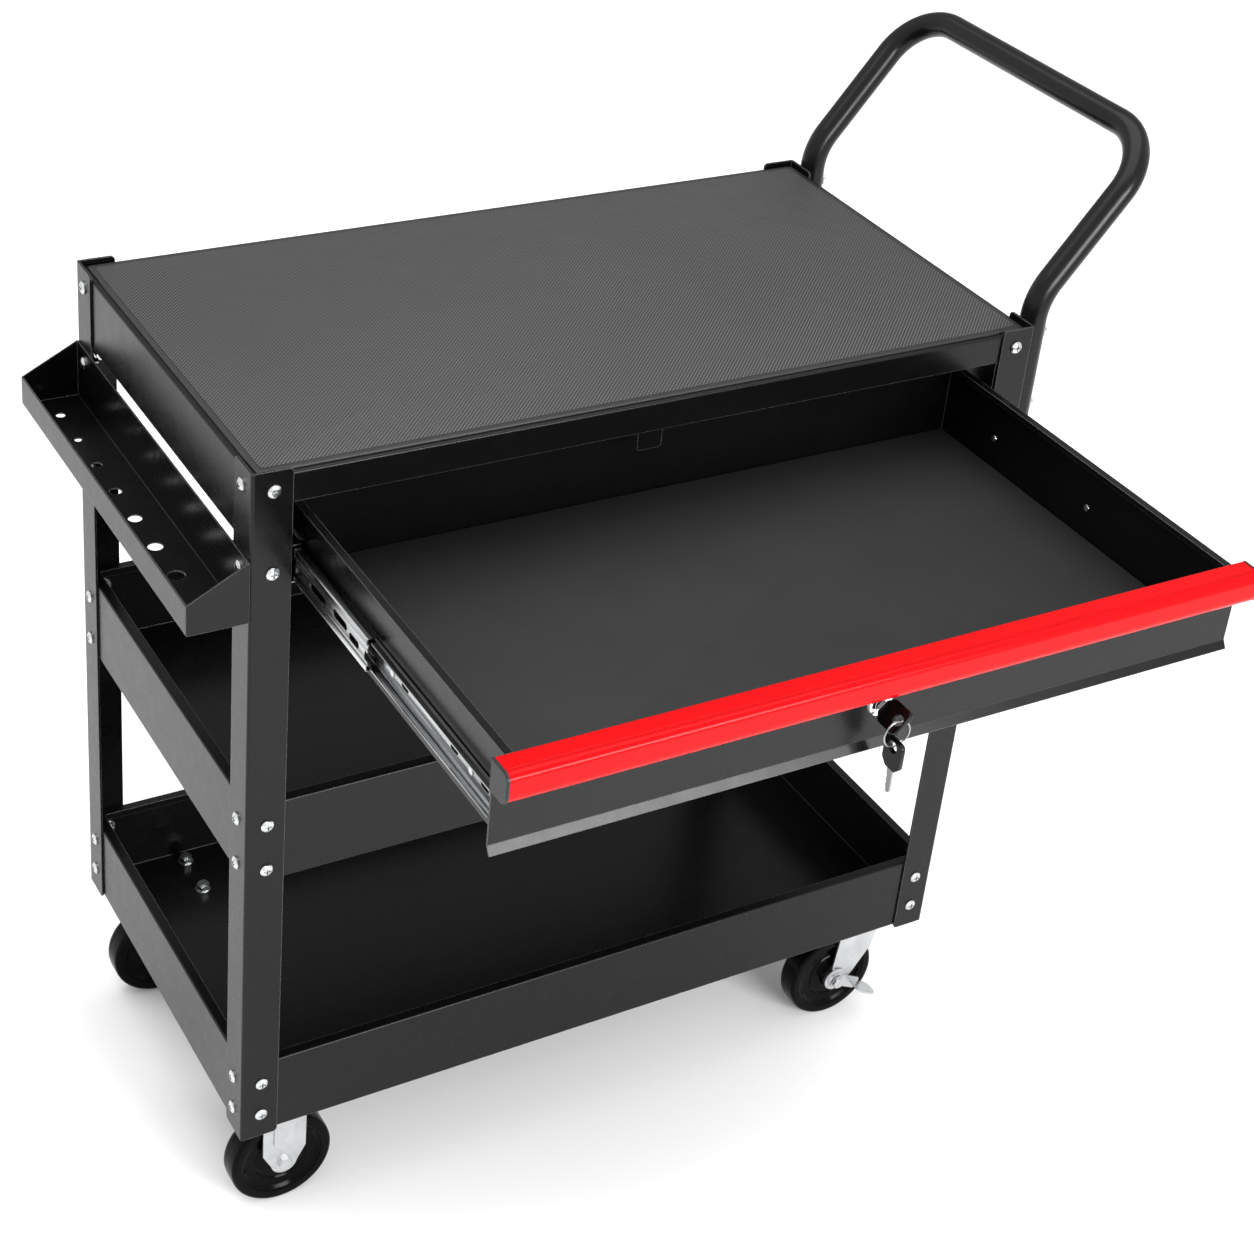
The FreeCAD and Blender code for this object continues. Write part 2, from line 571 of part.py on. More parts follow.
def slot_cut(x, y, z, length, width, depth=3.0):
    """A rounded slot along Y through a slide member's web."""
    half = length / 2 - width / 2
    first, last = [cylinder(width / 2, 2 * depth, Vector(x - depth, y + shift, z), X_AXIS)
                   for shift in (-half, half)]
    middle = box(x - depth, x + depth, y - half, y + half, z - width / 2, z + width / 2)
    return first.fuse([last, middle])


def outer_member():
    x = LEFT + SLIDE_X
    y0 = FRONT + SLIDE_START_Y
    member = channel(x, 1.2, x + 9.6, OUTER_HALF, y0, y0 + SLIDE_LENGTH)
    return member.cut(group([slot_cut(x, y0 + y, SLIDE_Z, 9, 4.4) for y in (35.0, 165.0, 300.0)]))


def middle_member():
    x = LEFT + SLIDE_X + 2.4
    y0 = FRONT + MIDDLE_START_Y - DRAWER_OPEN / 2
    web, step, half = 1.0, 1.0, MIDDLE_HALF - 5.5
    y1 = y0 + MIDDLE_LENGTH
    member = channel(x, web, x + 8.2, MIDDLE_HALF, y0, y1)
    member = member.cut(box(x - 1, x + web, y0 - 1, y1 + 1, SLIDE_Z - half, SLIDE_Z + half))
    member = member.fuse(recessed_web(x, 1, web, step, half, y0, y1))
    cuts = [slot_cut(x + step, y0 + y, SLIDE_Z + dz, length, 6.5, 2.0)
            for y, dz, length in ((24, -1.5, 18), (50, 1.5, 26), (92, 0, 30), (220, 0, 60))]
    cuts.append(box(x - 1, x + 4, y0 - 1, y0 + 5, SLIDE_Z - 6, SLIDE_Z + 2))
    return member.cut(group(cuts)).removeSplitter()


def inner_member():
    x = LEFT + DRAWER_SIDE_GAP
    y0 = FRONT + SLIDE_START_Y - DRAWER_OPEN
    member = channel(x, 1.2, x - 7.6, INNER_HALF, y0, y0 + SLIDE_LENGTH)
    rivets = [cylinder(2.1, 6, Vector(x - 3, y, SLIDE_Z), X_AXIS) for y in rivet_ys()]
    slots = [slot_cut(x, y0 + y, SLIDE_Z, 12, 4.4) for y in (18, 66, 148, 262, 322)]
    ridge_z, ridge_half = 7.5, 1.2
    ridges = [box(x - 2.4, x - 1.0, y0 + 4, y0 + SLIDE_LENGTH - 4, z - ridge_half, z + ridge_half)
              for z in (SLIDE_Z - ridge_z, SLIDE_Z + ridge_z)]
    return member.fuse(ridges).cut(group(rivets + slots)).removeSplitter()


def slide_balls():
    """Ball cages above and below the middle member: two outside it and two inside."""
    x = LEFT + SLIDE_X
    y0 = FRONT + MIDDLE_START_Y - DRAWER_OPEN / 2
    cage_length, balls_per_cage, ball_pitch, ball_radius = 90.0, 13, 6.5, 0.7
    solids = []
    for side in (-1, 1):
        outer_gap = SLIDE_Z + side * (OUTER_HALF - 1.2 + MIDDLE_HALF) / 2
        inner_gap = SLIDE_Z + side * (MIDDLE_HALF - 1.0 + INNER_HALF) / 2
        for gap, start, bx in ((outer_gap, 185.0, x + 6.2), (inner_gap, 20.0, x + 8.6)):
            y = y0 + start
            cage = box(bx - 1.6, bx + 1.6, y, y + cage_length, gap - 0.3, gap + 0.3)
            balls = [Part.makeSphere(ball_radius, Vector(bx, y + 6 + ball_pitch * k, gap))
                     for k in range(balls_per_cage)]
            solids.append(cage.fuse(balls))
    return group(solids)


def drawer_rivets():
    rivets = []
    for y in rivet_ys():
        inside = LEFT + DRAWER_SIDE_GAP + SHEET
        profile = [(0, 0), (3.4, 0), (3.0, 1.0), (1.6, 1.5), (0, 1.5)]
        dome = revolved(profile, Vector(inside, y, SLIDE_Z), X_AXIS)
        pin = cylinder(2.0, SHEET * 2, Vector(inside - 2 * SHEET, y, SLIDE_Z), X_AXIS)
        foot = cylinder(3.2, 0.8, Vector(inside - 2 * SHEET - 0.8, y, SLIDE_Z), X_AXIS)
        rivet = dome.fuse([pin, foot]).removeSplitter()
        rivets += [rivet, mirrored_x(rivet)]
    return group(rivets)


# ---------------------------------------------------------------- lock and keys
def lock_axis(y):
    return Vector(LOCK_X, y, LOCK_Z)


def lock_housing():
    barrel_length, bore_radius = 19.0, LOCK_PLUG_RADIUS + 0.05
    profile = [(bore_radius, 0), (10.5, 0), (11.0, 0.8), (10.2, 3.2), (8.0, 4.0), (bore_radius, 4.0)]
    bezel = revolved(profile, lock_axis(PANEL_Y), -Y_AXIS)
    barrel = cylinder(LOCK_BARREL_RADIUS, barrel_length, lock_axis(PANEL_Y), Y_AXIS)
    bore = cylinder(bore_radius, barrel_length + 10, lock_axis(PANEL_Y - 5), Y_AXIS)
    return bezel.fuse(barrel.cut(bore)).removeSplitter()


def lock_nut():
    y = PANEL_Y + 2 * SHEET
    nut = hexagon(21.0, 3.5, lock_axis(y), Y_AXIS)
    return nut.cut(cylinder(LOCK_BARREL_RADIUS + 0.05, 10, lock_axis(y - 2), Y_AXIS))


def lock_plug():
    y0, y1 = PANEL_Y - 4.4, PANEL_Y + 22.0
    plug = cylinder(LOCK_PLUG_RADIUS, y1 - y0, lock_axis(y0), Y_AXIS)
    keyway = box(LOCK_X - 1.0, LOCK_X + 1.0, y0 - 1, y0 + 20, LOCK_Z - 4.0, LOCK_Z + 4.0)
    return turned(plug.cut(keyway), lock_axis(0), Y_AXIS, KEY_TILT)


def lock_cam():
    """The cam on the plug's inner end; locking turns it upright, behind its keeper."""
    y = PANEL_Y + 19.6
    arm = box(LOCK_X - CAM_WIDTH / 2, LOCK_X + CAM_WIDTH / 2, y, y + 2, LOCK_Z, LOCK_Z + CAM_REACH)
    arm = arm.fuse(cylinder(9.0, 2, lock_axis(y), Y_AXIS)).removeSplitter()
    arm = arm.cut(cylinder(LOCK_PLUG_RADIUS, 10, lock_axis(y - 2), Y_AXIS))
    return turned(arm, lock_axis(0), Y_AXIS, CAM_TILT)


def key_shape(blade_length):
    """A flat key in the XZ plane, its bow upward from the origin and its blade downward."""
    half, top = KEY_BOW_WIDTH / 2, KEY_BOW_LENGTH
    right_side = [(half - 5, 0), (half, 9), (half, top - 6), (half - 6, top)]
    outline = right_side + [(-x, z) for x, z in reversed(right_side)]
    thick = KEY_BOW_SHEET / 2
    bow = prism([Vector(x, -thick, z) for x, z in outline], Y_AXIS * KEY_BOW_SHEET)
    bow = rounded(bow, 3.0, Y_AXIS)
    bow = bow.makeFillet(0.9, [e for e in bow.Edges if abs(abs(e.BoundBox.Center.y) - thick) < 0.01])
    bow = bow.cut(cylinder(KEY_HOLE_RADIUS, 10, Vector(0, -5, top - KEY_HOLE_FROM_END), Y_AXIS))
    bitting = [(3.4, -4), (3.0, -7), (3.0, -9), (2.0, -10.5), (2.8, -12), (1.8, -14), (2.6, -16)]
    tip = [(1.6, -blade_length + 2), (0, -blade_length), (-3.0, -blade_length + 3)]
    blade_outline = [(-3.4, 0.5), (3.4, 0.5)] + bitting + tip
    blade = prism([Vector(x, -0.9, z) for x, z in blade_outline], Y_AXIS * 1.8)
    return bow.fuse(blade).removeSplitter()


def key():
    """The key in the lock: its bow stands out in front of the plug."""
    shape = key_shape(20.0)
    shape.rotate(ORIGIN, Z_AXIS, 90)
    shape.rotate(ORIGIN, X_AXIS, 90)
    shape.translate(lock_axis(PANEL_Y - 6.4))
    return turned(shape, lock_axis(0), Y_AXIS, KEY_TILT)


def ring_eye():
    """Where the ring passes through the bow of the key in the lock."""
    return lock_axis(PANEL_Y - 6.4 - KEY_BOW_LENGTH + KEY_HOLE_FROM_END)


def key_ring():
    centre = ring_eye() - Z_AXIS * RING_RADIUS
    return Part.makeTorus(RING_RADIUS, RING_WIRE, centre, Y_AXIS)


def spare_key():
    """The second key, hanging from the foot of the ring, its flat side square to X."""
    shape = key_shape(22.0)
    shape.rotate(ORIGIN, Z_AXIS, 90)
    foot = ring_eye() - Z_AXIS * (2 * RING_RADIUS)
    shape.translate(foot - Z_AXIS * (KEY_BOW_LENGTH - KEY_HOLE_FROM_END))
    return shape


# ---------------------------------------------------------------- casters (built about a corner, then placed)
def mount_plate(cx, cy, kingpin_hole):
    plate = box(cx - PLATE_LENGTH / 2, cx + PLATE_LENGTH / 2, cy - PLATE_WIDTH / 2, cy + PLATE_WIDTH / 2,
                PLATE_Z, PLATE_TOP_Z)
    plate = rounded(plate, 7.0, Z_AXIS)
    holes = [cylinder(M8_HOLE, 10, Vector(x, y, PLATE_Z - 5), Z_AXIS) for x, y in plate_hole_places(cx, cy)]
    if kingpin_hole:
        holes.append(cylinder(5.0, 12, Vector(cx, cy, PLATE_Z - 8), Z_AXIS))
    return plate.cut(group(holes))


def ear(outline, cy, side):
    """One cheek of a fork, from an outline of (x, z) points; side is -1 or 1 along Y."""
    y0 = cy + side * FORK_GAP / 2
    return prism([Vector(x, y0, z) for x, z in outline], Vector(0, side * FORK_SHEET, 0))


def axle_hole(x, cy):
    return cylinder(AXLE_RADIUS, 60, Vector(x, cy - 30, WHEEL_RADIUS), Y_AXIS)


def rigid_fork(cx, cy):
    """A fixed caster's pressed fork with its mounting plate."""
    half, tip = 21.5, 13.0
    z_top, z_taper = PLATE_Z, 64.0
    pieces = [mount_plate(cx, cy, False)]
    for side in (-1, 1):
        cheek = ear([(cx - half, z_top), (cx + half, z_top), (cx + half, z_taper), (cx + tip * 0.75, 42.0),
                     (cx - tip * 0.75, 42.0), (cx - half, z_taper)], cy, side)
        cheek = rounded(cheek, 3.0, Y_AXIS, lambda p: p.z < z_taper + 1 and p.z > 50)
        foot = cylinder(tip, FORK_SHEET, Vector(cx, cy + side * FORK_GAP / 2, WHEEL_RADIUS), Y_AXIS * side)
        pieces += [cheek, foot]
        emboss = ear([(cx - 11, z_top), (cx + 11, z_top), (cx + 11, 75), (cx, 62), (cx - 11, 75)], cy, side)
        emboss.translate(Y_AXIS * (side * 1.2))
        pieces.append(rounded(emboss, 2.0, Y_AXIS, lambda p: p.z < 80))
    fork = pieces[0].fuse(pieces[1:]).removeSplitter()
    return fork.cut(axle_hole(cx, cy))


def swivel_plate(cx, cy):
    """A swivel caster's mounting plate with the upper half of its ball race."""
    profile = [(5.0, -5.0), (23.0, -5.0), (28.0, -0.6), (30.0, 0.5), (5.0, 0.5)]
    race = revolved(profile, Vector(cx, cy, PLATE_Z), Z_AXIS)
    return mount_plate(cx, cy, True).fuse(race).removeSplitter()


def kingpin(cx, cy):
    profile = [(0, -13.0), (4.6, -13.0), (7.5, -11.6), (7.5, -9.1), (4.95, -9.1), (4.95, 2.4), (0, 2.4)]
    return revolved(profile, Vector(cx, cy, PLATE_Z), Z_AXIS)


def swivel_fork(cx, cy):
    """The turning fork: a crown under the race, and cheeks that rake back to the axle."""
    axle_x = cx - CASTER_TRAIL
    crown_top = PLATE_Z - 5.6
    crown = cylinder(24.0, 3.0, Vector(cx, cy, crown_top - 3.0), Z_AXIS)
    skirt = revolved([(24.0, -3.0), (27.5, -3.0), (31.5, 3.4), (30.4, 3.8), (27.0, -0.8), (24.0, -0.8)],
                     Vector(cx, cy, crown_top), Z_AXIS)
    pieces = [crown, skirt]
    outline = [(cx - 22, crown_top), (cx + 21, crown_top), (cx + 21, 97), (cx + 16, 78), (cx - 4, 49),
               (axle_x + 9, 42), (axle_x - 8, 42), (cx - 29, 60)]
    for side in (-1, 1):
        cheek = ear(outline, cy, side)
        cheek = rounded(cheek, 3.0, Y_AXIS, lambda p: 45 < p.z < crown_top - 1)
        foot_at = Vector(axle_x, cy + side * FORK_GAP / 2, WHEEL_RADIUS)
        pieces += [cheek, cylinder(12.0, FORK_SHEET, foot_at, Y_AXIS * side)]
    fork = pieces[0].fuse(pieces[1:]).removeSplitter()
    fork = fork.cut(cylinder(5.05, 20, Vector(cx, cy, crown_top - 10), Z_AXIS))
    return fork.cut(axle_hole(axle_x, cy))


def axle(x, cy, brake_side):
    """The axle bolt with its head on one cheek and a nut on the other; a brake lever adds to its length."""
    front = cy - FORK_HALF - (5.4 if brake_side else 0)
    back = cy + FORK_HALF
    head = hexagon(12.0, 4.5, Vector(x, front, WHEEL_RADIUS), -Y_AXIS)
    shank = cylinder(AXLE_RADIUS, back - front + 9, Vector(x, front, WHEEL_RADIUS), Y_AXIS)
    nut = hexagon(12.0, 6.0, Vector(x, back, WHEEL_RADIUS), Y_AXIS)
    return head.fuse([shank, nut]).removeSplitter()


def brake_pedal(cx, cy):
    """A pressed lever on the axle: a cup against the cheek, an arm and an outward foot tab."""
    x, z = cx - CASTER_TRAIL, WHEEL_RADIUS
    y = cy - FORK_HALF - 0.3
    cup = revolved([(4.05, 0), (12.0, 0), (13.0, 0.8), (13.0, 1.9), (9.0, 1.9), (7.5, 4.6), (4.05, 4.6)],
                   Vector(x, y, z), -Y_AXIS)
    arm = box(x, x + 34, y - 2.2, y, z - 7, z + 7)
    arm = rounded(arm, 4.0, Y_AXIS, lambda p: p.x > x + 30)
    tab = box(x + 24, x + 50, y - 19, y, z - 1.2, z + 1.0)
    tab = rounded(tab, 6.0, Z_AXIS, lambda p: p.x > x + 45 or (p.y < y - 15 and p.x < x + 30))
    pedal = cup.fuse([arm, tab]).removeSplitter().cut(cylinder(4.05, 20, Vector(x, y + 5, z), -Y_AXIS))
    return turned(pedal, Vector(x, y, z), Y_AXIS, 27.0)


def wheel_hub(x, cy):
    """The wheel's core: boss, thin web and rim."""
    w = WHEEL_WIDTH / 2
    half = [(AXLE_RADIUS + 0.06, w + 1.6), (11.5, w + 1.6), (13.0, w + 0.6), (14.5, w - 3.0), (24.0, w - 3.8),
            (25.5, w - 2.6), (27.0, w - 3.8), (35.0, w - 3.4), (38.0, w - 1.2), (39.5, w - 1.0)]
    profile = half + [(r, -h) for r, h in reversed(half)]
    return revolved(profile, Vector(x, cy, WHEEL_RADIUS), Y_AXIS)


def tyre(x, cy):
    """The hard rubber tread around the core, with rounded shoulders and two moulding lines."""
    w, r = WHEEL_WIDTH / 2, WHEEL_RADIUS
    half = [(39.5, w - 0.6), (41.0, w), (46.5, w), (48.6, w - 0.9), (49.7, w - 2.6), (r, w - 5.0),
            (r, 4.6), (r - 0.4, 4.2), (r, 3.8)]
    profile = half + [(a, -h) for a, h in reversed(half)]
    return revolved(profile, Vector(x, cy, WHEEL_RADIUS), Y_AXIS)


def caster_bolt_group():
    bolts, nuts = [], []
    for centre in caster_centres():
        for x, y in plate_hole_places(*centre):
            bolts.append(hex_bolt(Vector(x, y, PLATE_Z), -Z_AXIS, 4.0, 10.5, 3.6, PLATE_SHEET + SHEET + 9.5))
            nuts.append(flange_nut(Vector(x, y, BOTTOM_TRAY_Z + SHEET), Z_AXIS, 4.0, 12.0, 7.0))
    return group(bolts), group(nuts)


# ---------------------------------------------------------------- build and export
def build():
    os.makedirs("parts", exist_ok=True)
    front_left_leg = leg()
    export("leg_front_left", front_left_leg)
    export("leg_front_right", mirrored_x(front_left_leg))
    export("leg_rear_left", mirrored_y(front_left_leg))
    export("leg_rear_right", mirrored_x(mirrored_y(front_left_leg)))
    export("top_panel", top_panel())
    export("top_mat", top_mat())
    export("middle_tray", tray(MIDDLE_TRAY_Z))
    export("bottom_tray", bottom_tray())
    export("tool_rack", tool_rack())
    export("push_handle", push_handle())
    export("push_handle_bolts", handle_bolts())
    export("push_handle_plugs", handle_plugs())
    screws, nuts = frame_fasteners()
    export("frame_screws", screws)
    export("frame_nuts", group(nuts.Solids + handle_nuts()))
    export("lock_keeper", lock_keeper())

    for name, shape in (("slide_bracket", slide_bracket()), ("slide_outer", outer_member()),
                        ("slide_middle", middle_member()), ("slide_inner", inner_member()),
                        ("slide_balls", slide_balls())):
        export(name + "_left", shape)
        export(name + "_right", mirrored_x(shape))

    export("drawer_box", drawer_box())
    export("drawer_front", drawer_front())
    export("drawer_pull", drawer_pull())
    export("pull_caps", pull_caps())
    export("drawer_liner", drawer_liner())
    export("drawer_rivets", drawer_rivets())
    export("lock_housing", lock_housing())
    export("lock_nut", lock_nut())
    export("lock_plug", lock_plug())
    export("lock_cam", lock_cam())
    export("key", key())
    export("key_ring", key_ring())
    export("spare_key", spare_key())

    rigid_x, swivel_x = LEFT + CASTER_INSET_X, RIGHT - CASTER_INSET_X
    rows = (("front", FRONT + CASTER_INSET_Y), ("rear", BACK - CASTER_INSET_Y))
    for row, cy in rows:
        export("rigid_fork_" + row, rigid_fork(rigid_x, cy))
        export("swivel_plate_" + row, swivel_plate(swivel_x, cy))
        export("swivel_fork_" + row, swivel_fork(swivel_x, cy))
        export("swivel_axle_" + row, axle(swivel_x - CASTER_TRAIL, cy, True))
        export("brake_pedal_" + row, brake_pedal(swivel_x, cy))
        for end, x in (("left", rigid_x), ("right", swivel_x - CASTER_TRAIL)):
            export("wheel_hub_" + row + "_" + end, wheel_hub(x, cy))
            export("tyre_" + row + "_" + end, tyre(x, cy))
    export("rigid_axles", group([axle(rigid_x, cy, False) for _, cy in rows]))
    export("kingpins", group([kingpin(swivel_x, cy) for _, cy in rows]))
    bolts, caster_nuts = caster_bolt_group()
    export("caster_bolts", bolts)
    export("caster_nuts", caster_nuts)


build()
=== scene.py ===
"""Rolling tool cart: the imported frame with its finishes, the mat, liner, keys and small pressed details."""
import json
import math

import bmesh
import bpy
from mathutils import Matrix, Vector


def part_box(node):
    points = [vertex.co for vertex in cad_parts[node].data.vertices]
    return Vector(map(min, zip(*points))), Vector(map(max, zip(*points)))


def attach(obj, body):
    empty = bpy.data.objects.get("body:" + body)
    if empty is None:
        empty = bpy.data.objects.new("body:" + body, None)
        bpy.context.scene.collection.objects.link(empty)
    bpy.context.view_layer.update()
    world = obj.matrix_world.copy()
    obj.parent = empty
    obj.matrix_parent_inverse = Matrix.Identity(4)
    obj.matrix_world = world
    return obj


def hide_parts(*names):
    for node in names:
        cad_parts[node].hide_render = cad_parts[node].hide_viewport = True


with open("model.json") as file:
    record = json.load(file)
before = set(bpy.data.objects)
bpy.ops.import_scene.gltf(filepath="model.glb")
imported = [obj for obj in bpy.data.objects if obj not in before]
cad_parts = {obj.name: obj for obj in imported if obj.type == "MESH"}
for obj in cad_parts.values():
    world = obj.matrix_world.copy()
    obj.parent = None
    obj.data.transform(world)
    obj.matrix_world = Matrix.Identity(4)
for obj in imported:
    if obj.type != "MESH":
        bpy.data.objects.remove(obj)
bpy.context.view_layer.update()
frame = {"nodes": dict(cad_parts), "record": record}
NODES = frame["nodes"]

# ---------------------------------------------------------------- camera, from the frame's origin (metres)
CAMERA_PLACE = Vector((-1.0071, -1.7003, 1.7625))
CAMERA_AZIMUTH = math.radians(-32.81)
CAMERA_ELEVATION = math.radians(29.69)
CAMERA_ROLL = math.radians(6.0)
CAMERA_LENS = 69.78
CAMERA_SHIFT_Y = -0.1172
SENSOR_WIDTH = 36.0                       # millimetres, as the lens

PANEL_SHEET = 0.0012                      # thickness of the drawer's front panel
KEY_TILT = math.radians(45)
FORK_FACE = 0.0167                        # from a rigid fork's middle to its cheek's outer face

WORLD_STRENGTH = 1.2
REAR_DIM = 0.42                           # brightness of the room behind the cart, as a part of the rest
REAR_WAY = Vector((0.45, 0.75, 0.49)).normalized()
REAR_FADE = (0.55, 0.85)                  # the room dims between these cosines of the angle from REAR_WAY
TOP_SOFTBOX = {"place": (-0.3, 0.3, 4.5), "target": (0.0, 0.0, 0.5), "size": (5.0, 5.0), "power": 190}
DRAWER_SOFTBOX = {"place": (0.42, -2.5, 1.22), "target": (-0.2, -0.54, 0.65),
                  "size": (1.3, 0.55), "power": 62}

WEAVE_PITCH = 0.0026                      # metres between threads
WEAVE_SCALE = math.pi / (10 * WEAVE_PITCH)  # a wave texture repeats every pi / (10 * scale)
WEAVE_DEPTH = 0.0004
FINE_GRAIN = 0.00003                      # depth of the finest bumps, in metres
NOISE_STRETCH = (0.3, 0.7)                # most of a noise texture's values lie between these

# ---------------------------------------------------------------- colours (linear)
BLACK = (0.0018, 0.0018, 0.0019)
# pale colour painted along the coat's edges as a highlight
PAINTED_EDGE_HIGHLIGHT = (0.30, 0.30, 0.305)
MAT_DARK = (0.006, 0.006, 0.0062)
MAT_LIGHT = (0.12, 0.121, 0.123)
MAT_RIM = (0.006, 0.006, 0.0063)
LINER = (0.0052, 0.0052, 0.0054)
RED = (0.50, 0.0008, 0.0022)
CAP_GREY = (0.014, 0.014, 0.0155)
ZINC = (0.62, 0.63, 0.64)
STEEL = (0.34, 0.34, 0.345)
CHROME = (0.86, 0.86, 0.87)
RUBBER = (0.0014, 0.0014, 0.0015)
FLOOR = (0.90, 0.90, 0.90)


# ---------------------------------------------------------------- node helpers
def new_material(name):
    material = bpy.data.materials.new(name)
    material.use_nodes = True
    tree = material.node_tree
    shader = tree.nodes["Principled BSDF"]
    return material, tree, shader


def add(tree, kind, **settings):
    node = tree.nodes.new(kind)
    for name, value in settings.items():
        setattr(node, name, value)
    return node


def object_place(tree, scale=(1, 1, 1), rotation=(0, 0, 0)):
    """Object coordinates, in metres, scaled and turned."""
    coordinates = add(tree, "ShaderNodeTexCoord")
    mapping = add(tree, "ShaderNodeMapping")
    mapping.inputs["Scale"].default_value = scale
    mapping.inputs["Rotation"].default_value = rotation
    tree.links.new(coordinates.outputs["Object"], mapping.inputs["Vector"])
    return mapping.outputs["Vector"]


def noise(tree, place, scale, detail=3.0, roughness=0.55):
    node = add(tree, "ShaderNodeTexNoise")
    node.inputs["Scale"].default_value = scale
    node.inputs["Detail"].default_value = detail
    node.inputs["Roughness"].default_value = roughness
    tree.links.new(place, node.inputs["Vector"])
    return node.outputs["Fac"]


def ramp(tree, factor, low, high, start=0.0, end=1.0):
    """A ramp between two colours over the given stretch of factor."""
    node = add(tree, "ShaderNodeValToRGB")
    node.color_ramp.elements[0].position = start
    node.color_ramp.elements[0].color = (*low, 1)
    node.color_ramp.elements[1].position = end
    node.color_ramp.elements[1].color = (*high, 1)
    tree.links.new(factor, node.inputs["Fac"])
    return node.outputs["Color"]


def spread(tree, factor, low, high):
    """factor from 0..1 onto low..high."""
    node = add(tree, "ShaderNodeMapRange")
    node.inputs["To Min"].default_value = low
    node.inputs["To Max"].default_value = high
    tree.links.new(factor, node.inputs["Value"])
    return node.outputs["Result"]


def maths(tree, operation, a, b):
    """The result of operation on a and b; either is a socket or a number."""
    node = add(tree, "ShaderNodeMath", operation=operation)
    for socket, value in zip(node.inputs, (a, b)):
        if isinstance(value, (int, float)):
            socket.default_value = value
        else:
            tree.links.new(value, socket)
    return node.outputs["Value"]


def bump(tree, height, depth, strength, normal=None):
    node = add(tree, "ShaderNodeBump")
    node.inputs["Distance"].default_value = depth
    node.inputs["Strength"].default_value = strength
    tree.links.new(height, node.inputs["Height"])
    if normal is not None:
        tree.links.new(normal, node.inputs["Normal"])
    return node.outputs["Normal"]


def soft_edges(tree, radius):
    """Normals that round the sheet's edges by radius, as a coat of paint does."""
    node = add(tree, "ShaderNodeBevel", samples=4)
    node.inputs["Radius"].default_value = radius
    return node.outputs["Normal"]


def edge_mask(tree, radius, gain):
    """1 along sharp edges and 0 on flat faces, from how far a rounded normal leans from the true one."""
    rounded_normal = soft_edges(tree, radius)
    geometry = add(tree, "ShaderNodeNewGeometry")
    product = add(tree, "ShaderNodeVectorMath", operation="DOT_PRODUCT")
    tree.links.new(rounded_normal, product.inputs[0])
    tree.links.new(geometry.outputs["Normal"], product.inputs[1])
    lean = maths(tree, "SUBTRACT", 1.0, product.outputs["Value"])
    return maths(tree, "MINIMUM", maths(tree, "MULTIPLY", lean, gain), 1.0)


def mix(tree, factor, first, second):
    """first where factor is 0, second where it is 1; either is a socket or a colour."""
    node = add(tree, "ShaderNodeMix", data_type="RGBA")
    tree.links.new(factor, node.inputs["Factor"])
    for socket, value in zip((node.inputs[6], node.inputs[7]), (first, second)):
        if isinstance(value, tuple):
            socket.default_value = (*value, 1)
        else:
            tree.links.new(value, socket)
    return node.outputs[2]


def scaled(colour, factor):
    return tuple(c * factor for c in colour)


def clouded(tree, place, scale, detail, colour, dark, light):
    """colour, varying softly between dark and light times itself."""
    cloud = noise(tree, place, scale, detail)
    return ramp(tree, cloud, scaled(colour, dark), scaled(colour, light), *NOISE_STRETCH)


def connect(tree, shader, colour, roughness, normal):
    """Links the three sockets that every finish sets."""
    tree.links.new(colour, shader.inputs["Base Color"])
    tree.links.new(roughness, shader.inputs["Roughness"])
    tree.links.new(normal, shader.inputs["Normal"])


# ---------------------------------------------------------------- materials
def powder_coat(name, colour):
    """Semi-gloss coat with a faint orange peel, slight variation in tone, and a painted highlight: edges
    painted paler in patches.
    """
    rough, edge = 0.27, 0.0009
    material, tree, shader = new_material(name)
    place = object_place(tree)
    tone = clouded(tree, place, 9.0, 4.0, colour, 0.84, 1.2)
    patches = spread(tree, noise(tree, place, 38.0, 5.0), 0.35, 1.0)
    # painted highlight: a pale colour laid along the sharp edges, in patches
    painted_highlight = maths(tree, "MULTIPLY", edge_mask(tree, edge, 3.2), patches)
    roughness = spread(tree, noise(tree, place, 60.0, 5.0), rough - 0.05, rough + 0.06)
    peel = bump(tree, noise(tree, place, 1100.0, 2.0), FINE_GRAIN, 0.14, soft_edges(tree, edge))
    connect(tree, shader, mix(tree, painted_highlight, tone, PAINTED_EDGE_HIGHLIGHT), roughness, peel)
    shader.inputs["Specular IOR Level"].default_value = 0.21
    return material


def woven_mat(name):
    """A rubber mat moulded with a fine diagonal weave."""
    material, tree, shader = new_material(name)
    threads = []
    for turn in (math.radians(45), math.radians(-45)):
        wave = add(tree, "ShaderNodeTexWave", wave_type="BANDS", bands_direction="X", wave_profile="SIN")
        wave.inputs["Scale"].default_value = WEAVE_SCALE
        wave.inputs["Distortion"].default_value = 0.0
        tree.links.new(object_place(tree, rotation=(0, 0, turn)), wave.inputs["Vector"])
        threads.append(wave.outputs["Fac"])
    weave = maths(tree, "MULTIPLY", *threads)
    place = object_place(tree)
    cloud = spread(tree, noise(tree, place, 11.0, 6.0), 0.86, 1.08)
    colour = ramp(tree, maths(tree, "MULTIPLY", weave, cloud), MAT_DARK, MAT_LIGHT, 0.02, 0.85)
    roughness = spread(tree, noise(tree, place, 40.0, 4.0), 0.5, 0.62)
    connect(tree, shader, colour, roughness, bump(tree, weave, WEAVE_DEPTH, 0.7))
    shader.inputs["Specular IOR Level"].default_value = 0.35
    return material


def smooth_rubber(name, colour):
    """The plain moulded rim around the weave."""
    material, tree, shader = new_material(name)
    place = object_place(tree)
    tone = clouded(tree, place, 25.0, 4.0, colour, 0.85, 1.2)
    roughness = spread(tree, noise(tree, place, 70.0, 4.0), 0.42, 0.55)
    connect(tree, shader, tone, roughness, bump(tree, noise(tree, place, 900.0, 2.0), 0.00004, 0.4))
    return material


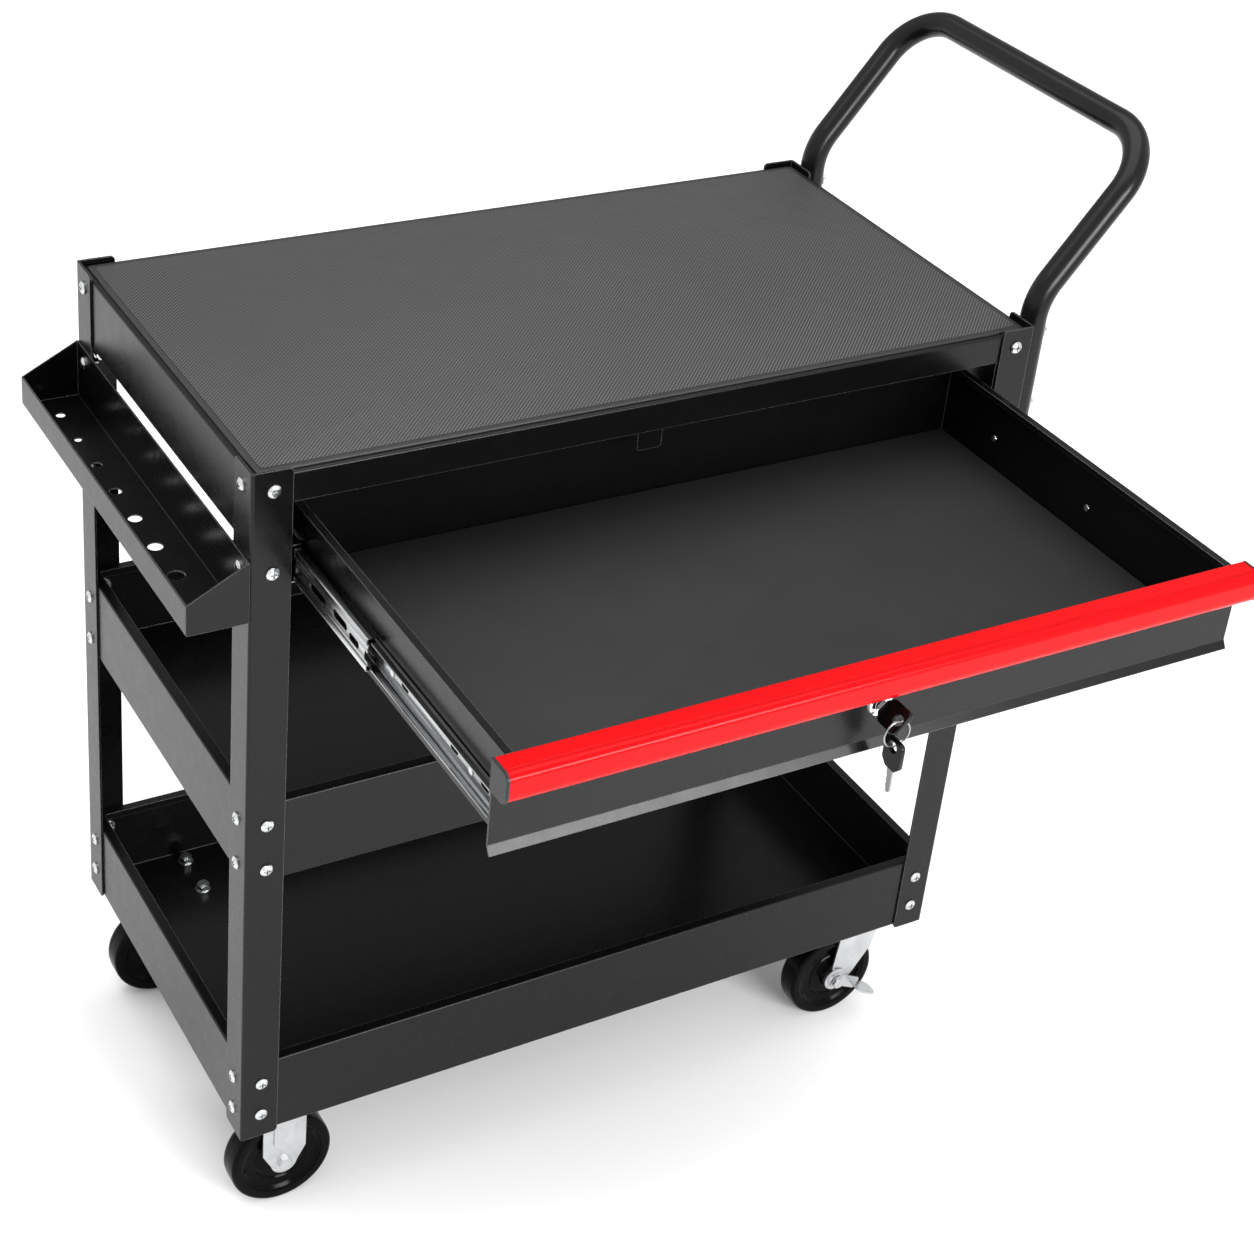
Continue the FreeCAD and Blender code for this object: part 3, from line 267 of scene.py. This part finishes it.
def foam_liner(name):
    """Dull foam with a fine grain."""
    material, tree, shader = new_material(name)
    place = object_place(tree)
    grain = noise(tree, place, 900.0, 3.0, 0.7)
    tone = clouded(tree, place, 18.0, 5.0, LINER, 0.8, 1.3)
    connect(tree, shader, tone, spread(tree, grain, 0.62, 0.8), bump(tree, grain, 0.00015, 0.5))
    return material


def satin_paint(name, colour, rough):
    """Smooth paint with painted shade: darker along sharp edges and creases."""
    material, tree, shader = new_material(name)
    place = object_place(tree)
    tone = clouded(tree, place, 12.0, 3.0, colour, 0.95, 1.05)
    # painted shade: the colour darkened along sharp edges and creases
    painted_edge_shade = mix(tree, edge_mask(tree, 0.0016, 2.6), tone, scaled(colour, 0.25))
    roughness = spread(tree, noise(tree, place, 80.0, 4.0), rough - 0.04, rough + 0.04)
    grain = bump(tree, noise(tree, place, 1300.0, 2.0), FINE_GRAIN, 0.3, soft_edges(tree, 0.0005))
    connect(tree, shader, painted_edge_shade, roughness, grain)
    shader.inputs["Specular IOR Level"].default_value = 0.1
    return material


def bare_metal(name, colour, rough, streak=(1, 60, 1), clouds=0.12):
    """Plated or plain steel: clouded tone, edges and hollows darkened as painted shade, and fine marks drawn
    out by streak.
    """
    material, tree, shader = new_material(name)
    shader.inputs["Metallic"].default_value = 1.0
    tone = clouded(tree, object_place(tree), 45.0, 4.0, colour, 1 - clouds, 1.0)
    # painted shade: darker colour along edges and hollows
    painted_edge_shade = mix(tree, edge_mask(tree, 0.0008, 2.2), tone, scaled(colour, 0.12))
    lines = noise(tree, object_place(tree, scale=streak), 30.0, 4.0)
    marks = bump(tree, lines, FINE_GRAIN, 0.4, soft_edges(tree, 0.0003))
    connect(tree, shader, painted_edge_shade, spread(tree, lines, rough * 0.7, rough * 1.4), marks)
    return material


def reflection_banded_zinc(name, dark, bright):
    """Plated slide steel, with dark and bright bands along its length painted as reflections and shade; the
    bands also raise ridges and vary the roughness.
    """
    material, tree, shader = new_material(name)
    shader.inputs["Metallic"].default_value = 1.0
    bands = noise(tree, object_place(tree, scale=(70, 1, 70)), 4.5, 3.0)
    ridges = bump(tree, bands, 0.0004, 0.8, soft_edges(tree, 0.0004))
    # painted reflections and shade: the bands take the colour from near black to bright zinc
    connect(tree, shader, ramp(tree, bands, dark, bright, 0.36, 0.62), spread(tree, bands, 0.1, 0.26), ridges)
    return material


def moulded_plastic(name, colour, rough, specular):
    """Plastic with a very fine grain."""
    material, tree, shader = new_material(name)
    shader.inputs["Specular IOR Level"].default_value = specular
    place = object_place(tree)
    grain = noise(tree, place, 1500.0, 2.0)
    tone = clouded(tree, place, 30.0, 3.0, colour, 0.9, 1.12)
    normal = bump(tree, grain, FINE_GRAIN, 0.5, soft_edges(tree, 0.0004))
    connect(tree, shader, tone, spread(tree, grain, rough - 0.06, rough + 0.08), normal)
    return material


def hard_rubber(name):
    """Tyre rubber with slightly paler scuffs."""
    material, tree, shader = new_material(name)
    shader.inputs["Specular IOR Level"].default_value = 0.055
    place = object_place(tree)
    scuff = noise(tree, place, 55.0, 6.0, 0.7)
    tone = ramp(tree, scuff, scaled(RUBBER, 0.85), scaled(RUBBER, 1.7), 0.45, 0.8)
    normal = bump(tree, noise(tree, place, 500.0, 3.0), 0.00006, 0.4, soft_edges(tree, 0.0005))
    connect(tree, shader, tone, spread(tree, scuff, 0.12, 0.3), normal)
    return material


MATERIALS = {
    "black_powder_coat": powder_coat("black_powder_coat", BLACK),
    "black_work_mat": woven_mat("woven_mat"),
    "black_drawer_liner": foam_liner("foam_liner"),
    "red_pull": satin_paint("red_satin", RED, 0.2),
    "dark_grey_plastic": moulded_plastic("cap_plastic", CAP_GREY, 0.4, 0.25),
    "zinc_slides": reflection_banded_zinc("slide_zinc", scaled(ZINC, 0.06), ZINC),
    "bright_steel_balls": bare_metal("bearing_steel", CHROME, 0.1),
    "zinc_casters": bare_metal("caster_zinc", ZINC, 0.3, streak=(1, 1, 12), clouds=0.2),
    "zinc_fasteners": bare_metal("fastener_zinc", ZINC, 0.2, streak=(1, 1, 1)),
    "chrome_lock": bare_metal("lock_chrome", CHROME, 0.08, streak=(1, 1, 1), clouds=0.04),
    "lock_steel": bare_metal("lock_steel", STEEL, 0.25),
    "key_black_plastic": moulded_plastic("key_plastic", scaled(CAP_GREY, 0.2), 0.2, 0.2),
    "black_wheel_core": moulded_plastic("wheel_core", RUBBER, 0.14, 0.05),
    "black_rubber_tyre": hard_rubber("hard_rubber"),
}
SLOT_OF = {row["node"]: row["material_slot"] for row in frame["record"]["subparts"]}


def dress_frame():
    """Gives every CAD node its finish."""
    for name, node in NODES.items():
        material = MATERIALS[SLOT_OF[name]]
        if not node.material_slots:
            node.data.materials.append(material)
            continue
        for slot in node.material_slots:
            slot.material = material


# ---------------------------------------------------------------- pieces
def place_piece(name, mesh, material, body):
    piece = bpy.data.objects.new(name, mesh)
    piece.data.materials.clear()
    piece.data.materials.append(material)
    bpy.context.scene.collection.objects.link(piece)
    for face in piece.data.polygons:
        face.use_smooth = True
    piece.data.set_sharp_from_angle(angle=math.radians(35))
    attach(piece, body)
    return piece


def rounded_rectangle(x0, x1, y0, y1, radius, steps=6):
    """The outline's points, anticlockwise, with each corner as an arc."""
    points = []
    corners = ((x1 - radius, y0 + radius, -90), (x1 - radius, y1 - radius, 0),
               (x0 + radius, y1 - radius, 90), (x0 + radius, y0 + radius, 180))
    for cx, cy, start in corners:
        for k in range(steps + 1):
            angle = math.radians(start + 90 * k / steps)
            points.append((cx + radius * math.cos(angle), cy + radius * math.sin(angle)))
    return points


def stacked_rings(name, rings):
    """A mesh through rings of equally many points, closed by a face at the top and the bottom."""
    mesh = bmesh.new()
    loops = [[mesh.verts.new(point) for point in ring] for ring in rings]
    count = len(loops[0])
    for low, high in zip(loops, loops[1:]):
        for k in range(count):
            mesh.faces.new((low[k], low[(k + 1) % count], high[(k + 1) % count], high[k]))
    mesh.faces.new(loops[-1])
    mesh.faces.new(list(reversed(loops[0])))
    data = bpy.data.meshes.new(name)
    mesh.to_mesh(data)
    mesh.free()
    return data


def sheet_rings(box, radius, levels):
    """Rings of a flat sheet: each level is (inset from the box's sides, height)."""
    (x0, y0, _), (x1, y1, _) = box
    rings = []
    least_radius = 0.0004
    for inset, height in levels:
        corner = max(radius - inset, least_radius)
        outline = rounded_rectangle(x0 + inset, x1 - inset, y0 + inset, y1 - inset, corner)
        rings.append([(x, y, height) for x, y in outline])
    return rings


def build_work_mat():
    """The mat: a smooth rim with a rounded edge, and inside it a raised woven field."""
    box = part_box("top_mat")
    bottom, top = box[0][2], box[1][2]
    rim_width, field_rise, corner = 0.0055, 0.0005, 0.004
    rim_top = top - field_rise
    rim = [(0.0, bottom), (0.0, rim_top - 0.0007), (0.0002, rim_top - 0.0002), (0.0007, rim_top),
           (rim_width, rim_top)]
    rim_piece = place_piece("work_mat_rim", stacked_rings("work_mat_rim", sheet_rings(box, corner, rim)),
                            smooth_rubber("mat_rim", MAT_RIM), "chassis")
    field = [(rim_width, rim_top - 0.0002), (rim_width, top - 0.0002), (rim_width + 0.0003, top)]
    weave = stacked_rings("work_mat_weave", sheet_rings(box, corner + rim_width, field))
    place_piece("work_mat_weave", weave, MATERIALS["black_work_mat"], "chassis")
    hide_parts("top_mat")


def build_drawer_liner():
    """The foam liner, with soft cut edges."""
    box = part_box("drawer_liner")
    bottom, top = box[0][2], box[1][2]
    levels = [(0.0, bottom), (0.0, top - 0.0006), (0.00015, top - 0.0002), (0.0006, top)]
    corner = 0.003
    sheet = stacked_rings("foam_drawer_liner", sheet_rings(box, corner, levels))
    foam = MATERIALS["black_drawer_liner"]
    liner = place_piece("foam_drawer_liner", sheet, foam, "drawer")
    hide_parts("drawer_liner")


def cut_plate(name, outlines, thickness, bevel):
    """A flat plate in the local XY plane with rounded edges; every outline after the first is a hole."""
    curve = bpy.data.curves.new(name, "CURVE")
    curve.dimensions = "2D"
    curve.fill_mode = "BOTH"
    curve.extrude = thickness / 2 - bevel
    curve.bevel_depth = bevel
    curve.bevel_resolution = 2
    curve.offset = -bevel
    for outline in outlines:
        spline = curve.splines.new("POLY")
        spline.points.add(len(outline) - 1)
        for point, (x, y) in zip(spline.points, outline):
            point.co = (x, y, 0, 1)
        spline.use_cyclic_u = True
    holder = bpy.data.objects.new(name, curve)
    bpy.context.scene.collection.objects.link(holder)
    bpy.context.view_layer.update()
    mesh = bpy.data.meshes.new_from_object(holder)
    bpy.data.objects.remove(holder)
    bpy.data.curves.remove(curve)
    return mesh


def circle(x, y, radius, count=32):
    return [(x + radius * math.cos(2 * math.pi * k / count), y + radius * math.sin(2 * math.pi * k / count))
            for k in range(count)]


# A key lies in its local XY plane: the bow runs up from the origin and the blade down.
BOW_LENGTH, BOW_HALF, BOW_SHEET = 0.027, 0.011, 0.004
EYE_RADIUS, EYE_FROM_END = 0.0045, 0.0066
BOW_EDGE, BLADE_EDGE = 0.0008, 0.00015       # how far their edges are rounded
BLADE_HALF, BLADE_SHEET = 0.0034, 0.0018
FIRST_CUT, CUT_PITCH, CUT_WIDTH = 0.005, 0.0025, 0.0012
CUT_DEPTHS = (0.0003, 0.0012, 0.0006, 0.0015, 0.0009, 0.0017)
LOCK_BLADE, SPARE_BLADE = 0.020, 0.022       # how much of each key's blade shows
KEY_OUT = 0.0064                             # from the drawer's front panel to the bow's inner end
RING_WIRE = 0.0016


def bow_outline():
    """The bow: narrow at the blade, with straight sides and rounded shoulders."""
    half, top = BOW_HALF, BOW_LENGTH
    right_side = [(half - 0.0055, 0.0), (half - 0.0012, 0.0045), (half, 0.0065), (half, top - 0.0045),
                  (half - 0.0006, top - 0.002), (half - 0.002, top - 0.0006), (half - 0.0045, top)]
    return right_side + [(-x, y) for x, y in reversed(right_side)]


def blade_outline(length):
    """The bitted blade: cuts of differing depth along one edge, a straight back and a slanted tip."""
    points = [(-BLADE_HALF, 0.0004), (BLADE_HALF, 0.0004), (BLADE_HALF, -0.0035)]
    for k, depth in enumerate(CUT_DEPTHS):
        y = -FIRST_CUT - k * CUT_PITCH
        points += [(BLADE_HALF - depth, y), (BLADE_HALF - depth, y - CUT_WIDTH)]
    return points + [(0.0012, -length + 0.0012), (-0.0004, -length), (-BLADE_HALF, -length + 0.0026)]


def build_key(name, node, body, blade_length, place):
    """A black bow with rounded edges and an eye, and a bitted steel blade."""
    eye = circle(0, BOW_LENGTH - EYE_FROM_END, EYE_RADIUS)
    bow = cut_plate(name + "_bow", [bow_outline(), eye], BOW_SHEET, BOW_EDGE)
    bow.transform(place)
    bow_piece = place_piece(name + "_bow", bow, MATERIALS["key_black_plastic"], body)
    blade = cut_plate(name + "_blade", [blade_outline(blade_length)], BLADE_SHEET, BLADE_EDGE)
    blade.transform(place)
    place_piece(name + "_blade", blade, MATERIALS["lock_steel"], body)
    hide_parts(node)


def build_keys():
    """The key in the lock stands out of it, turned with the plug; the spare one hangs from the ring."""
    lock = (Vector(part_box("lock_nut")[0]) + Vector(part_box("lock_nut")[1])) / 2
    panel_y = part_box("drawer_front")[1][1] - PANEL_SHEET
    tilt = Matrix.Rotation(KEY_TILT, 4, "Y")
    outward = Matrix(((0, 0, 1, 0), (0, -1, 0, 0), (1, 0, 0, 0), (0, 0, 0, 1)))
    at_lock = Matrix.Translation((lock.x, panel_y - KEY_OUT, lock.z))
    build_key("lock_key", "key", "lock_plug", LOCK_BLADE, at_lock @ tilt @ outward)
    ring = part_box("key_ring")
    foot_z = ring[0][2] + RING_WIRE / 2
    ring_y = (ring[0][1] + ring[1][1]) / 2
    hanging = Matrix(((0, 0, 1, 0), (1, 0, 0, 0), (0, 1, 0, 0), (0, 0, 0, 1)))
    at_ring = Matrix.Translation((lock.x, ring_y, foot_z - (BOW_LENGTH - EYE_FROM_END)))
    build_key("hanging_key", "spare_key", "spare_key", SPARE_BLADE, at_ring @ hanging)


def build_fork_panels():
    """The raised border of the pressed panel on both cheeks of each rigid fork."""
    half, foot_half, foot_z, shoulder_z, below_top = 0.009, 0.004, 0.0685, 0.076, 0.009
    inner_width, foot_border, top_border = 0.62, 0.0035, 0.003
    sheet, edge = 0.0016, 0.00055
    upright = Matrix(((1, 0, 0, 0), (0, 0, 1, 0), (0, 1, 0, 0), (0, 0, 0, 1)))
    for row in ("front", "rear"):
        low, high = (Vector(corner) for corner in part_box("rigid_fork_" + row))
        cx, cy, top = (low.x + high.x) / 2, (low.y + high.y) / 2, high.z - below_top
        outline = [(-half, top), (-half, shoulder_z), (-foot_half, foot_z), (foot_half, foot_z),
                   (half, shoulder_z), (half, top)]
        inner = [(x * inner_width, z + (foot_border if z < top else -top_border)) for x, z in outline]
        for side, letter in ((-1, "a"), (1, "b")):
            name = "fork_panel_" + row + "_" + letter
            rim = cut_plate(name, [outline, list(reversed(inner))], sheet, edge)
            rim.transform(Matrix.Translation((cx, cy + side * FORK_FACE, 0)) @ upright)
            place_piece(name, rim, MATERIALS["zinc_casters"], "chassis")


# ---------------------------------------------------------------- stage
def build_floor():
    """A pale floor that runs past the camera's view on every side."""
    half = 30.0
    corners = [(-half, -half, 0), (half, -half, 0), (half, half, 0), (-half, half, 0)]
    mesh = bpy.data.meshes.new("floor")
    mesh.from_pydata(corners, [], [(0, 1, 2, 3)])
    floor = bpy.data.objects.new("floor", mesh)
    bpy.context.scene.collection.objects.link(floor)
    material, tree, shader = new_material("pale_floor")
    place = object_place(tree)
    tone = ramp(tree, noise(tree, place, 2.0), scaled(FLOOR, 0.995), FLOOR)
    tree.links.new(tone, shader.inputs["Base Color"])
    shader.inputs["Roughness"].default_value = 0.7
    shader.inputs["Specular IOR Level"].default_value = 0.15
    mesh.materials.append(material)


def area_light(name, place, target, size, power):
    data = bpy.data.lights.new(name, "AREA")
    data.shape = "RECTANGLE"
    data.size, data.size_y = size
    data.energy = power
    light = bpy.data.objects.new(name, data)
    light.location = place
    light.rotation_mode = "QUATERNION"
    light.rotation_quaternion = (Vector(target) - Vector(place)).to_track_quat("-Z", "Y")
    bpy.context.scene.collection.objects.link(light)


def build_lights():
    """A white room, dimmer behind the cart, with a softbox overhead and one in front of the drawer."""
    world = bpy.data.worlds.new("studio")
    world.use_nodes = True
    background = world.node_tree.nodes["Background"]
    tree = world.node_tree
    direction = add(tree, "ShaderNodeTexCoord").outputs["Generated"]
    facing = add(tree, "ShaderNodeVectorMath", operation="DOT_PRODUCT")
    facing.inputs[1].default_value = REAR_WAY
    tree.links.new(direction, facing.inputs[0])
    shade = ramp(tree, facing.outputs["Value"], (1, 1, 1), (REAR_DIM, REAR_DIM, REAR_DIM), *REAR_FADE)
    tree.links.new(shade, background.inputs["Color"])
    background.inputs["Strength"].default_value = WORLD_STRENGTH
    bpy.context.scene.world = world
    area_light("top_softbox", **TOP_SOFTBOX)
    area_light("drawer_softbox", **DRAWER_SOFTBOX)


def build_camera():
    """The camera of the photo, turned by its azimuth, elevation and roll."""
    data = bpy.data.cameras.new("camera")
    data.lens = CAMERA_LENS
    data.sensor_width = SENSOR_WIDTH
    data.sensor_fit = "HORIZONTAL"
    data.shift_y = CAMERA_SHIFT_Y
    camera = bpy.data.objects.new("camera", data)
    azimuth, elevation = CAMERA_AZIMUTH, CAMERA_ELEVATION
    level = math.cos(elevation)
    back = Vector((math.sin(azimuth) * level, -math.cos(azimuth) * level, math.sin(elevation)))
    level_right = (-back).cross(Vector((0, 0, 1))).normalized()
    level_up = level_right.cross(-back)
    right = math.cos(CAMERA_ROLL) * level_right + math.sin(CAMERA_ROLL) * level_up
    up = -math.sin(CAMERA_ROLL) * level_right + math.cos(CAMERA_ROLL) * level_up
    camera.matrix_world = Matrix.Translation(CAMERA_PLACE) @ Matrix((right, up, back)).transposed().to_4x4()
    bpy.context.scene.collection.objects.link(camera)
    bpy.context.scene.camera = camera


bpy.context.scene.view_settings.view_transform = "Standard"
build_camera()
build_floor()
build_lights()
dress_frame()
build_work_mat()
build_drawer_liner()
build_keys()
build_fork_panels()
